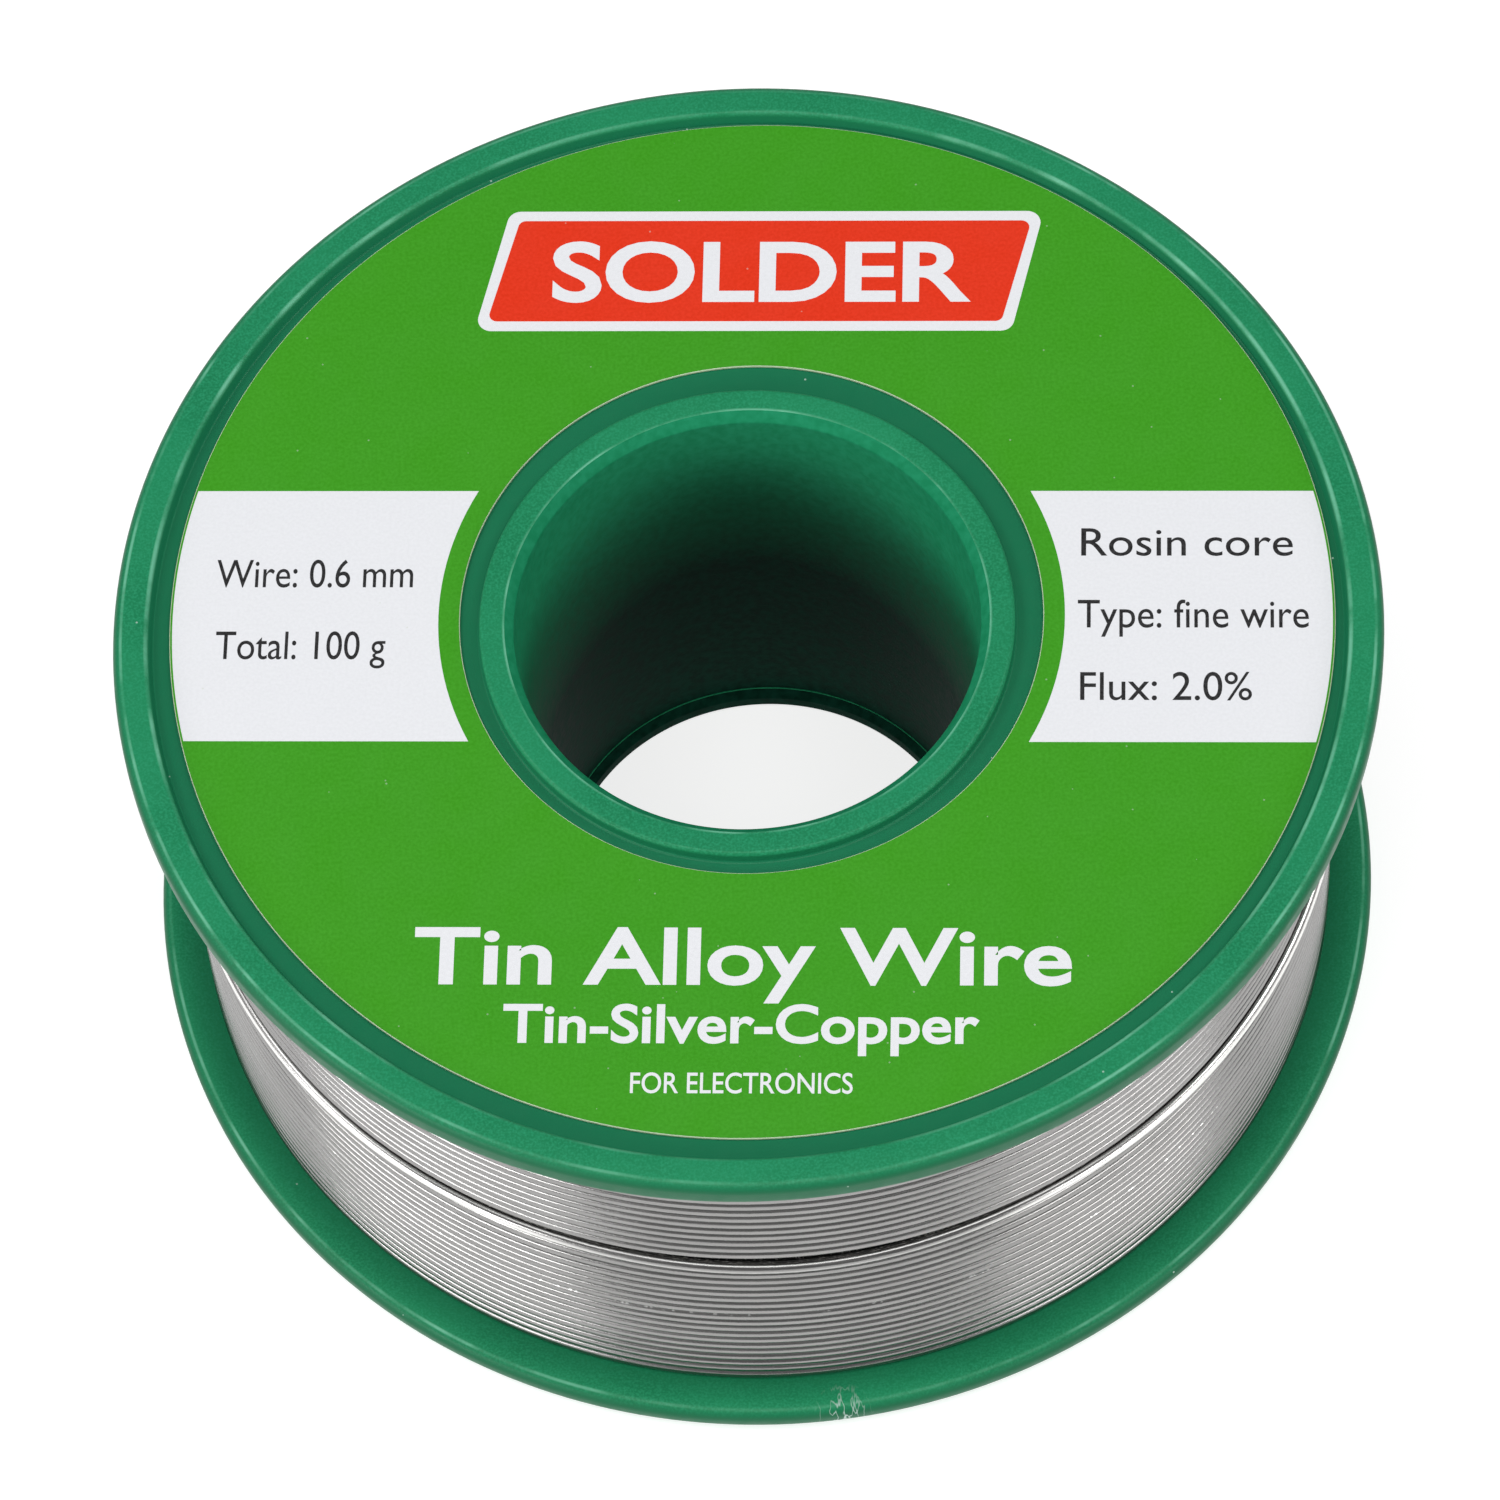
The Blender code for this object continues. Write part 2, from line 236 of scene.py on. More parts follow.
def camera_axes():
    """The camera's right, up and forward directions."""
    forward = Vector(
        (
            math.sin(CAMERA_PAN) * math.cos(CAMERA_TILT),
            math.cos(CAMERA_PAN) * math.cos(CAMERA_TILT),
            -math.sin(CAMERA_TILT),
        )
    )
    level = Vector((math.cos(CAMERA_PAN), -math.sin(CAMERA_PAN), 0.0))
    up = level.cross(forward)
    turn = Matrix.Rotation(-CAMERA_ROLL, 3, forward)
    return turn @ level, turn @ up, forward


def make_camera():
    data = bpy.data.cameras.new("camera")
    data.lens = CAMERA_LENS
    data.sensor_width = CAMERA_SENSOR
    data.clip_start = 0.01
    data.clip_end = 20.0
    camera = bpy.data.objects.new("camera", data)
    bpy.context.scene.collection.objects.link(camera)
    right, up, forward = camera_axes()
    basis = Matrix((right, up, -forward)).transposed().to_4x4()
    camera.matrix_world = Matrix.Translation(Vector(CAMERA_PLACE) * MM) @ basis
    bpy.context.scene.camera = camera


def area_light(name, place, size, power):
    data = bpy.data.lights.new(name, "AREA")
    data.shape = "RECTANGLE"
    data.size, data.size_y = size
    data.energy = power
    light = bpy.data.objects.new(name, data)
    bpy.context.scene.collection.objects.link(light)
    light.location = place
    aim = Vector(LIGHT_TARGET) - Vector(place)
    light.rotation_euler = aim.to_track_quat("-Z", "Y").to_euler()


def make_floor():
    half = FLOOR_HALF
    corners = [(-half, -half, 0), (half, -half, 0), (half, half, 0), (-half, half, 0)]
    floor_mesh = bpy.data.meshes.new("floor")
    floor_mesh.from_pydata(corners, [], [(0, 1, 2, 3)])
    floor = bpy.data.objects.new("floor", floor_mesh)
    bpy.context.scene.collection.objects.link(floor)
    floor.location.z = -FLOOR_DROP
    material, shader, _ = new_material("floor_white")
    shader.inputs["Base Color"].default_value = (FLOOR_GREY, FLOOR_GREY, FLOOR_GREY, 1)
    shader.inputs["Roughness"].default_value = 0.9
    shader.inputs["Emission Color"].default_value = WHITE_LIGHT
    shader.inputs["Emission Strength"].default_value = FLOOR_GLOW
    floor_mesh.materials.append(material)


def make_studio():
    """A pale floor, softboxes on both sides and a large soft light overhead."""
    make_floor()
    for name, place, size, power in LIGHTS:
        area_light(name, place, size, power)
    world = bpy.data.worlds.new("studio")
    world.use_nodes = True
    background = world.node_tree.nodes["Background"]
    background.inputs["Color"].default_value = WHITE_LIGHT
    background.inputs["Strength"].default_value = ROOM_GLOW
    bpy.context.scene.world = world
    bpy.context.scene.view_settings.view_transform = "Standard"


# ---------------------------------------------------------------- materials


class Tree:
    """A short way to add nodes to a material and join them up."""

    MIX_SHARE, MIX_A, MIX_B = 0, 6, 7  # the Mix node's inputs for colours
    MIX_RESULT = 2

    def __init__(self, tree):
        self.tree = tree

    def add(self, kind, inputs=(), **settings):
        made = self.tree.nodes.new(kind)
        for name, value in settings.items():
            setattr(made, name, value)
        for key, value in dict(inputs).items():
            self.feed(made.inputs[key], value)
        return made

    def feed(self, socket, value):
        if isinstance(value, bpy.types.NodeSocket):
            self.tree.links.new(value, socket)
        else:
            socket.default_value = value

    def math(self, operation, *values):
        made = self.add("ShaderNodeMath", operation=operation)
        for socket, value in zip(made.inputs, values):
            self.feed(socket, value)
        return made.outputs[0]

    def place(self, stretch=(1.0, 1.0, 1.0)):
        """The point in millimetres in the object's own axes, stretched."""
        at = self.add("ShaderNodeTexCoord").outputs["Object"]
        factors = tuple(s / MM for s in stretch)
        scaled = self.add("ShaderNodeVectorMath", {0: at, 1: factors}, operation="MULTIPLY")
        return scaled.outputs[0]

    def noise(self, per_mm, detail, stretch=(1.0, 1.0, 1.0)):
        """Noise from 0 to 1 with about per_mm lumps a millimetre."""
        inputs = {"Vector": self.place(stretch), "Scale": per_mm, "Detail": detail}
        return self.add("ShaderNodeTexNoise", inputs).outputs["Fac"]

    def spread(self, value, low, high, to_low=0.0, to_high=1.0):
        """The value taken from low..high to to_low..to_high, and held at the ends."""
        inputs = {
            "Value": value,
            "From Min": low,
            "From Max": high,
            "To Min": to_low,
            "To Max": to_high,
        }
        return self.add("ShaderNodeMapRange", inputs).outputs["Result"]

    def mix(self, share, a, b):
        """Colour a where share is 0, colour b where it is 1."""
        made = self.add("ShaderNodeMix", data_type="RGBA")
        self.feed(made.inputs[self.MIX_SHARE], share)
        self.feed(made.inputs[self.MIX_A], a)
        self.feed(made.inputs[self.MIX_B], b)
        return made.outputs[self.MIX_RESULT]

    def absolute_off(self, value, middle):
        """How far the value is from the middle, either way."""
        return self.math("ABSOLUTE", self.math("SUBTRACT", value, middle))

    def split(self):
        """The object's own X, Y and Z in millimetres."""
        parts = self.add("ShaderNodeSeparateXYZ", {"Vector": self.place()})
        return parts.outputs["X"], parts.outputs["Y"], parts.outputs["Z"]

    def specks(self, per_mm, radius, share):
        """1 on small round specks, 0 between them. share is how many cells hold one."""
        inputs = {"Vector": self.place(), "Scale": per_mm}
        cells = self.add("ShaderNodeTexVoronoi", inputs)
        near = self.math("LESS_THAN", cells.outputs["Distance"], radius * per_mm)
        parts = self.add("ShaderNodeSeparateColor", {"Color": cells.outputs["Color"]})
        chosen = self.math("LESS_THAN", parts.outputs[0], share)
        return self.math("MULTIPLY", near, chosen)

    def bump(self, shader, height, distance):
        """Gives the shader a relief distance millimetres deep."""
        inputs = {"Height": height, "Distance": distance * MM, "Strength": 1.0}
        made = self.add("ShaderNodeBump", inputs)
        self.tree.links.new(made.outputs["Normal"], shader.inputs["Normal"])


def new_material(name):
    material = bpy.data.materials.new(name)
    material.use_nodes = True
    shader = material.node_tree.nodes["Principled BSDF"]
    return material, shader, Tree(material.node_tree)


def plastic_material():
    """Green moulded plastic: fine grain, painted shade in the recesses and on the rim walls, pale
    rubbed edges with painted highlights, dust and a scuffed place.
    """
    material, shader, tree = new_material("green_moulding")
    radius, end = round_place(tree)
    broad = tree.noise(0.16, 3.0)
    fine = tree.noise(9.0, 2.0)
    base = tree.mix(tree.spread(broad, 0.35, 0.65), LAND_DARK, LAND_LIGHT)
    grain = tree.mix(tree.spread(fine, 0.4, 0.7), base, LAND_GRAIN)
    # Painted shade on the rims' walls and beside the winding.
    wall_shaded = tree.mix(wall_painted_shade_share(tree, radius, end), grain, RIM_WALL_PAINTED_SHADE)
    # Painted shade in the recesses.
    recess_shaded = tree.mix(recess_painted_shade_share(tree, radius, end), wall_shaded, RECESS_PAINTED_SHADE)
    # Rubbed edges, and painted highlights along the rims' edges.
    rubbed_and_highlit = tree.mix(rubbed_edges_and_painted_highlights(tree, radius, end), recess_shaded, RUBBED_PLASTIC_AND_HIGHLIGHT)
    dust = tree.math("MULTIPLY", tree.specks(0.9, 0.05, 0.22), 0.7)
    dusty = tree.mix(dust, rubbed_and_highlit, DUST)
    scuffed = tree.mix(scuff_share(tree), dusty, SCUFF)
    tree.feed(shader.inputs["Base Color"], scuffed)
    rough = tree.spread(tree.noise(1.4, 4.0), 0.3, 0.7, 0.34, 0.46)
    tree.feed(shader.inputs["Roughness"], rough)
    shader.inputs["Specular IOR Level"].default_value = 0.18
    height = tree.math("ADD", tree.math("MULTIPLY", tree.noise(14.0, 2.0), 0.5), broad)
    tree.bump(shader, height, 0.012)
    return material


def bore_material():
    """The bore's wall: the same plastic, duller, with painted shade that grows darker down the bore and
    is darkest front and back.
    """
    material, shader, tree = new_material("bore_moulding_painted_shade")
    x, _, z = tree.split()
    # Painted shade: darker down the bore, lighter towards its sides.
    painted_side_light = tree.math("MULTIPLY", tree.math("POWER", x, 2.0), 0.035)
    painted_light_reach = tree.math("ADD", z, painted_side_light)
    grain = tree.spread(tree.noise(2.5, 4.0), 0.35, 0.65)
    near = tree.mix(grain, *BORE_NEAR)
    painted_deep_shade = tree.mix(grain, *BORE_PAINTED_SHADE)
    wall = tree.mix(tree.spread(painted_light_reach, HEIGHT - 12.0, HEIGHT - 0.6), painted_deep_shade, near)
    tree.feed(shader.inputs["Base Color"], wall)
    tree.feed(shader.inputs["Roughness"], tree.spread(grain, 0.0, 1.0, 0.4, 0.5))
    shader.inputs["Specular IOR Level"].default_value = 0.01
    tree.bump(shader, tree.noise(5.0, 2.0), 0.01)
    return material


def round_place(tree):
    """The distance from the spool's axis, and the height from its middle, in millimetres."""
    x, y, z = tree.split()
    x_squared = tree.math("POWER", x, 2.0)
    y_squared = tree.math("POWER", y, 2.0)
    radius = tree.math("SQRT", tree.math("ADD", x_squared, y_squared))
    return radius, tree.absolute_off(z, HEIGHT / 2)


def recess_painted_shade_share(tree, radius, end):
    """1 in the flanges' recesses, where shade is painted in, and 0 on the land."""
    outer = tree.spread(radius, RIM_INNER_RADIUS - 0.08, RIM_INNER_RADIUS + 0.08, 1.0, 0.0)
    inner = tree.spread(radius, HUB_RING_RADIUS - 0.1, HUB_RING_RADIUS + 0.04)
    below = tree.spread(end, HEIGHT / 2 - 0.24, HEIGHT / 2 - 0.04, 1.0, 0.0)
    outside = tree.spread(end, HEIGHT / 2 - 1.1, HEIGHT / 2 - 1.0)
    across = tree.math("MULTIPLY", outer, inner)
    return tree.math("MULTIPLY", across, tree.math("MULTIPLY", below, outside))


def wall_painted_shade_share(tree, radius, end):
    """1 on the rims' outer walls and close to the winding, where painted shade makes them darker than
    the land.
    """
    outer = tree.spread(radius, FLANGE_RADIUS - 0.35, FLANGE_RADIUS - 0.04)
    inner = tree.spread(radius, OUTER_WINDING_RADIUS + 0.1, OUTER_WINDING_RADIUS + 1.1, 1.0, 0.0)
    winding_side = tree.spread(end, HEIGHT / 2 - 1.1, HEIGHT / 2 - 1.0, 0.4, 0.0)
    return tree.math("MAXIMUM", outer, tree.math("MULTIPLY", inner, winding_side))


def rubbed_edges_and_painted_highlights(tree, radius, end):
    """The share of pale plastic: broken lines of rubbed plastic and painted highlight on the hub ring's
    edge, and painted highlights along the rims' edges.

    The rims' painted highlights are faint at the front and back and stronger at the sides.
    """
    outside = tree.spread(end, HEIGHT / 2 - 0.3, HEIGHT / 2 - 0.15)
    crest = HEIGHT / 2 - RIM_DEPTH
    winding_side = tree.spread(end, crest + 0.1, crest + 0.25, 1.0, 0.0)
    patchy = tree.spread(tree.noise(0.3, 5.0), 0.42, 0.6, 0.1, 0.85)
    x, _, _ = tree.split()
    # The painted highlights are stronger at the sides, where the lights fall.
    painted_highlight_sides = tree.spread(tree.absolute_off(x, 0.0), 3.0, 14.0, 0.15, 1.0)
    rim_sides = tree.math("MULTIPLY", tree.math("MAXIMUM", outside, winding_side), painted_highlight_sides)
    total = None
    for place, width, exposed in (
        (BORE_TOP_RADIUS + LEAD_IN_WIDTH, 0.11, outside),
        (RIM_INNER_RADIUS + 0.05, 0.12, tree.math("MULTIPLY", outside, painted_highlight_sides)),
        (FLANGE_RADIUS - 0.36, 0.09, rim_sides),
    ):
        off = tree.absolute_off(radius, place)
        line = tree.math("MULTIPLY", tree.spread(off, 0.3 * width, width, 1.0, 0.0), exposed)
        total = line if total is None else tree.math("MAXIMUM", total, line)
    return tree.math("MULTIPLY", total, patchy)


def scuff_share(tree):
    """A patch of fine pale scratches on the lower rim, near the front."""
    inputs = {0: tree.place(), 1: SCUFF_PLACE}
    away = tree.add("ShaderNodeVectorMath", inputs, operation="DISTANCE").outputs["Value"]
    near = tree.spread(away, 0.3, 1.4, 1.0, 0.0)
    ridge = tree.absolute_off(tree.noise(2.4, 2.0, (1.0, 0.3, 0.3)), 0.5)
    scratches = tree.spread(ridge, 0.005, 0.026, 0.85, 0.0)
    return tree.math("MULTIPLY", near, scratches)


def print_material(name, colour, spread):
    """Printed film: an ink whose grain varies by the spread, with faint handling marks."""
    material, shader, tree = new_material(name)
    darker = tuple(c * (1 - spread) for c in colour) + (1,)
    lighter = tuple(min(1.0, c * (1 + spread) + 0.1 * spread) for c in colour) + (1,)
    grain = tree.spread(tree.noise(7.0, 3.0), 0.35, 0.65)
    inked = tree.mix(grain, darker, lighter)
    pits = tree.math("MULTIPLY", tree.specks(1.6, 0.045, 0.12), 0.35)
    tree.feed(shader.inputs["Base Color"], tree.mix(pits, inked, INK_PIT))
    rough = tree.spread(tree.noise(0.5, 4.0), 0.3, 0.7, 0.37, 0.5)
    tree.feed(shader.inputs["Roughness"], rough)
    shader.inputs["Specular IOR Level"].default_value = 0.3
    tree.bump(shader, tree.noise(3.0, 3.0), 0.006)
    return material


def solder_material():
    """Drawn tin alloy wire: long fine die lines, dull patches, pits and a row of bright nicks.

    Where a turn stands proud of the others, a highlight is painted on it.
    """
    material, shader, tree = new_material("tin_wire")
    lines = tree.noise(1.0, 3.0, (0.07, 0.07, 16.0))
    patches = tree.noise(0.45, 4.0, (1.0, 1.0, 0.6))
    share = tree.math("ADD", tree.math("MULTIPLY", lines, 0.6), tree.math("MULTIPLY", patches, 0.4))
    base = tree.mix(tree.spread(share, 0.3, 0.7), WIRE_DULL, WIRE_CLEAN)
    pits = tree.math("MULTIPLY", tree.specks(2.2, 0.04, 0.03), 0.4)
    pitted = tree.mix(pits, base, WIRE_PIT)
    _, _, z = tree.split()
    row = tree.spread(tree.absolute_off(z, NICKED_TURN_Z), 0.14, 0.2, 1.0, 0.0)
    nicks = tree.math("MULTIPLY", row, tree.specks(4.0, 0.09, 0.5))
    nicked = tree.mix(nicks, pitted, WIRE_NICK)
    radius, _ = round_place(tree)
    # A painted highlight where a turn stands out.
    proud = tree.spread(radius, OUTER_WINDING_RADIUS + 0.03, OUTER_WINDING_RADIUS + 0.1)
    tree.feed(shader.inputs["Base Color"], tree.mix(proud, nicked, WIRE_PAINTED_HIGHLIGHT))
    tree.feed(shader.inputs["Roughness"], tree.spread(lines, 0.3, 0.7, 0.19, 0.31))
    shader.inputs["Metallic"].default_value = 1.0
    tree.bump(shader, tree.noise(6.0, 2.0, (0.03, 0.03, 1.2)), 0.003)
    return material


def shaded_solder_material():
    """The layer seen in the gap: the same wire, darkened with painted shade, with painted glint specks.
    """
    material, shader, tree = new_material("tin_wire_painted_shade")
    lines = tree.noise(1.2, 3.0, (0.6, 0.6, 12.0))
    base = tree.mix(tree.spread(lines, 0.35, 0.65), *WIRE_PAINTED_SHADE)
    # Painted glint specks on the shaded wire.
    glints = tree.specks(6.0, 0.07, 0.55)
    tree.feed(shader.inputs["Base Color"], tree.mix(glints, base, WIRE_PAINTED_GLINT))
    tree.feed(shader.inputs["Roughness"], tree.spread(lines, 0.3, 0.7, 0.25, 0.4))
    shader.inputs["Metallic"].default_value = 1.0
    tree.bump(shader, tree.noise(6.0, 3.0, (0.4, 0.4, 3.0)), 0.012)
    return material


def flux_material():
    """Rosin flux: clear amber, darker in places."""
    material, shader, tree = new_material("amber_rosin")
    cloud = tree.noise(8.0, 2.0)
    base = tree.mix(tree.spread(cloud, 0.35, 0.65), *ROSIN)
    tree.feed(shader.inputs["Base Color"], base)
    shader.inputs["Roughness"].default_value = 0.25
    return material


# ---------------------------------------------------------------- shapes


def add_piece(name, data, material, body="spool"):
    """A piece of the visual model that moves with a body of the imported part."""
    piece = bpy.data.objects.new(name, data)
    bpy.context.scene.collection.objects.link(piece)
    data.materials.append(material)
    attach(piece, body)
    return piece


def fillet_arc(before, corner, after, radius):
    """The points of a round corner, from the side that leads to it to the side that leaves it."""
    to_before = (before - corner).normalized()
    to_after = (after - corner).normalized()
    half = to_before.angle(to_after) / 2
    start = corner + to_before * (radius / math.tan(half))
    end = corner + to_after * (radius / math.tan(half))
    centre = corner + (to_before + to_after).normalized() * (radius / math.sin(half))
    arm = start - centre
    sweep = math.atan2(arm.cross(end - centre), arm.dot(end - centre))
    steps = max(1, round(abs(sweep) / ARC_STEP))
    return [centre + Matrix.Rotation(sweep * step / steps, 2) @ arm for step in range(steps + 1)]


def rounded(corners):
    """The outline through the corners (r, z, fillet), with a fillet of 0 left sharp."""
    places = [Vector(corner[:2]) for corner in corners]
    points = []
    for i, (*_, fillet) in enumerate(corners):
        if fillet:
            after = places[(i + 1) % len(places)]
            points += fillet_arc(places[i - 1], places[i], after, fillet)
        else:
            points.append(places[i])
    return points


def turned_mesh(name, corners):
    """A closed solid of revolution about Z, smooth but for its sharp corners."""
    outline = np.array([tuple(p) for p in rounded(corners)]) * MM
    count = len(outline)
    angles = np.arange(TURNED_STEPS) * math.tau / TURNED_STEPS
    x = np.outer(np.cos(angles), outline[:, 0])
    y = np.outer(np.sin(angles), outline[:, 0])
    z = np.tile(outline[:, 1], (TURNED_STEPS, 1))
    points = np.stack([x, y, z], axis=2).reshape(-1, 3)
    faces = []
    for i in range(TURNED_STEPS):
        here, there = i * count, (i + 1) % TURNED_STEPS * count
        for j in range(count):
            k = (j + 1) % count
            faces.append((here + j, here + k, there + k, there + j))
    mesh = bpy.data.meshes.new(name)
    mesh.from_pydata(points.tolist(), [], faces)
    mesh.shade_smooth()
    mesh.set_sharp_from_angle(angle=math.radians(32))
    return mesh


def rim_side(outer_z, inward, web_depth, recess_depth, edge_round):
    """A flange's outline from its winding side, over the crest and round the rim, to the hub ring."""
    rim_z = outer_z + inward * RIM_DEPTH
    floor_z = outer_z + inward * recess_depth
    web_z = outer_z + inward * web_depth
    return [
        (WEB_OUTER_RADIUS, web_z, 1.0),
        (CREST_RADIUS, rim_z, 1.5),
        (FLANGE_RADIUS, rim_z, CREST_ROUND),
        (FLANGE_RADIUS, outer_z, edge_round),
        (RIM_INNER_RADIUS, outer_z, 0.2),
        (RECESS_RADIUS, floor_z, 0.1),
        (HUB_RING_RADIUS, floor_z, 0.12),
        (HUB_RING_RADIUS, outer_z, 0.2),
    ]


def line_bore(mesh, radius, material):
    """Gives the faces within the radius, which are the bore's wall, their own material."""
    mesh.materials.append(material)
    for face in mesh.polygons:
        if all(mesh.vertices[i].co.xy.length < radius * MM for i in face.vertices):
            face.material_index = 1


def make_upper_moulding(plastic, bore):
    """The labelled flange, the barrel and the bore tube."""
    barrel_inner = BARREL_RADIUS - BARREL_WALL
    web_z = HEIGHT - TOP_WEB_DEPTH
    barrel_end = FOOT_WEB_DEPTH + SEAT_GAP
    tube_end = LIP_TOP + SEAT_GAP
    upper = [
        (BARREL_RADIUS, web_z, 0.1),
        *rim_side(HEIGHT, -1, TOP_WEB_DEPTH, TOP_RECESS_DEPTH, TOP_EDGE_ROUND),
        (BORE_TOP_RADIUS + LEAD_IN_WIDTH, HEIGHT, 0.08),
        (BORE_TOP_RADIUS, HEIGHT - LEAD_IN_DEPTH, 0.2),
        (BORE_LOW_RADIUS, tube_end, 0.05),
        (TUBE_END_RADIUS, tube_end, 0),
        (TUBE_TOP_RADIUS, web_z, 0.1),
        (barrel_inner, web_z, 0.1),
        (barrel_inner, barrel_end, 0),
        (BARREL_RADIUS, barrel_end, 0),
    ]
    body = add_piece("moulded_body", turned_mesh("moulded_body", upper), plastic)
    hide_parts("spool_body")
    line_bore(body.data, TUBE_BORE_REACH, bore)


def make_lower_moulding(plastic, bore):
    """The lower flange, its bore lip, the tube's socket and the spigot in the barrel."""
    spigot_outer = BARREL_RADIUS - BARREL_WALL - SPIGOT_CLEARANCE
    spigot_inner = spigot_outer - SPIGOT_WALL
    spigot_top = FOOT_WEB_DEPTH + SPIGOT_HEIGHT
    lower = [
        *rim_side(0.0, 1, FOOT_WEB_DEPTH, FOOT_RECESS_DEPTH, FOOT_EDGE_ROUND),
        (LIP_RADIUS + LIP_EDGE, 0.0, 0),
        (LIP_RADIUS, LIP_EDGE, 0),
        (LIP_RADIUS, LIP_TOP - LIP_SLOPE, 0.1),
        (BORE_LOW_RADIUS - 0.05, LIP_TOP, 0.05),
        (SOCKET_RADIUS, LIP_TOP, 0),
        (SOCKET_RADIUS, SOCKET_TOP, 0.1),
        (SOCKET_RADIUS + SOCKET_WALL, SOCKET_TOP, 0.1),
        (SOCKET_RADIUS + SOCKET_WALL, FOOT_WEB_DEPTH, 0.1),
        (spigot_inner, FOOT_WEB_DEPTH, 0.1),
        (spigot_inner, spigot_top, 0.1),
        (spigot_outer, spigot_top, 0.3),
        (spigot_outer, FOOT_WEB_DEPTH, 0.1),
    ]
    lower.reverse()
    base = add_piece("moulded_base", turned_mesh("moulded_base", lower), plastic)
    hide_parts("lower_flange")
    line_bore(base.data, LIP_BORE_REACH, bore)


def label_place(u, v, z):
    """A point given in the label's own axes, as a place in the row frame."""
    centre = (LABEL_LOW + LABEL_HIGH) / 2 / MM
    x = u * math.cos(LABEL_TURN) - v * math.sin(LABEL_TURN)
    y = u * math.sin(LABEL_TURN) + v * math.cos(LABEL_TURN)
    return Vector((centre.x + x, centre.y + y, z)) * MM


def label_object(name, data, material, z, turn=LABEL_TURN):
    """A piece of the label, set on the label's own centre and turned with it unless turn says not."""
    piece = bpy.data.objects.new(name, data)
    bpy.context.scene.collection.objects.link(piece)
    data.materials.append(material)
    piece.location = label_place(0, 0, z)
    piece.rotation_euler.z = turn
    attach(piece, "spool")
    return piece


def printed_shape(name, outline, material, level):
    """A flat printed area from an outline in the label's own axes, on its level of ink."""
    curve = bpy.data.curves.new(name, "CURVE")
    curve.dimensions = "2D"
    curve.fill_mode = "BOTH"
    curve.extrude = PRINT_STEP / 2 * MM
    spline = curve.splines.new("POLY")
    spline.points.add(len(outline) - 1)
    for point, (u, v) in zip(spline.points, outline):
        point.co = (u * MM, v * MM, 0.0, 1.0)
    spline.use_cyclic_u = True
    label_object(name, curve, material, LABEL_TOP + (level - 0.5) * PRINT_STEP)


def printed_text(line, material, level):
    """A line of text as the tables of lines give it. level is its place in the stack of inks."""
    name, words, (left, baseline), height, width, bold = line
    text = bpy.data.curves.new(name, "FONT")
    text.body = words
    text.size = height / CAPITAL_SHARE * MM
    text.offset = bold * MM
    text.extrude = PRINT_STEP / 2 * MM
    text.resolution_u = 6
    piece = label_object(name, text, material, 0)
    bpy.context.view_layer.update()
    piece.scale.x = width * MM / piece.dimensions.x
    piece.location = label_place(left, baseline, LABEL_TOP + (level - 0.5) * PRINT_STEP)


def panel_outline(side):
    """A side panel: the label's outer edge, two straight edges, and a hollow arc round the hub."""
    top = PANEL_HALF_HEIGHT
    outer = LABEL_OUTER_RADIUS - 0.12
    up = [-top + 2 * top * i / PANEL_STEPS for i in range(PANEL_STEPS + 1)]
    down = [top - 2 * top * i / PANEL_STEPS for i in range(PANEL_STEPS + 1)]
    outline = [(side * math.sqrt(outer**2 - v**2), v) for v in up]
    outline += [(side * math.sqrt(PANEL_ARC_RADIUS**2 - v**2), v) for v in down]
    return outline


def slanted_outline(half_width, low, high, lean, radius):
    """A slanted block with round corners."""
    corners = [
        Vector((-half_width - lean, low)),
        Vector((half_width - lean, low)),
        Vector((half_width + lean, high)),
        Vector((-half_width + lean, high)),
    ]
    outline = []
    for i, corner in enumerate(corners):
        after = corners[(i + 1) % len(corners)]
        outline += [tuple(p) for p in fillet_arc(corners[i - 1], corner, after, radius)]
    return outline


def label_ring(name, outer_radius, inner_radius, top, base, fillet, material):
    """A flat ring that covers the label's round field."""
    corners = [
        (outer_radius, top, fillet),
        (inner_radius, top, fillet),
        (inner_radius, base, 0),
        (outer_radius, base, 0),
    ]
    return label_object(name, turned_mesh(name, corners), material, 0, turn=0.0)


def make_label():
    """The film, its green field, two white panels, the title block and the lines of text."""
    green = print_material("label_green", GREEN_INK, 0.06)
    white = print_material("label_white", WHITE_INK, 0.02)
    red = print_material("label_red", RED_INK, 0.05)
    black = print_material("label_black", BLACK_INK, 0.2)
    paper = print_material("film_edge", BARE_FILM, 0.04)

    outer, inner = LABEL_OUTER_RADIUS, LABEL_INNER_RADIUS
    film_top = LABEL_TOP - FILM_SINK
    film = label_ring("label_film", outer, inner, film_top, LABEL_BASE, 0.02, paper)
    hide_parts("face_label")
    outer, inner = outer - FILM_EDGE, inner + FILM_EDGE
    label_ring("label_field", outer, inner, LABEL_TOP, film_top - FILM_SINK, 0, green)

    for side, name in ((-1, "left"), (1, "right")):
        printed_shape(f"panel_{name}", panel_outline(side), white, 1)

    printed_shape("title_border", slanted_outline(11.9, 14.5, 20.75, 0.7, 0.6), white, 1)
    printed_shape("title_block", slanted_outline(11.4, 15.0, 20.25, 0.65, 0.35), red, 2)

    printed_text(("title_word", "SOLDER", (-9.3, 16.1), 3.1, 18.6, 0.1), white, 3)
    for line in WHITE_LINES:
        printed_text(line, white, 1)
    for line in BLACK_LINES:
        printed_text(line, black, 2)


# ---------------------------------------------------------------- the winding


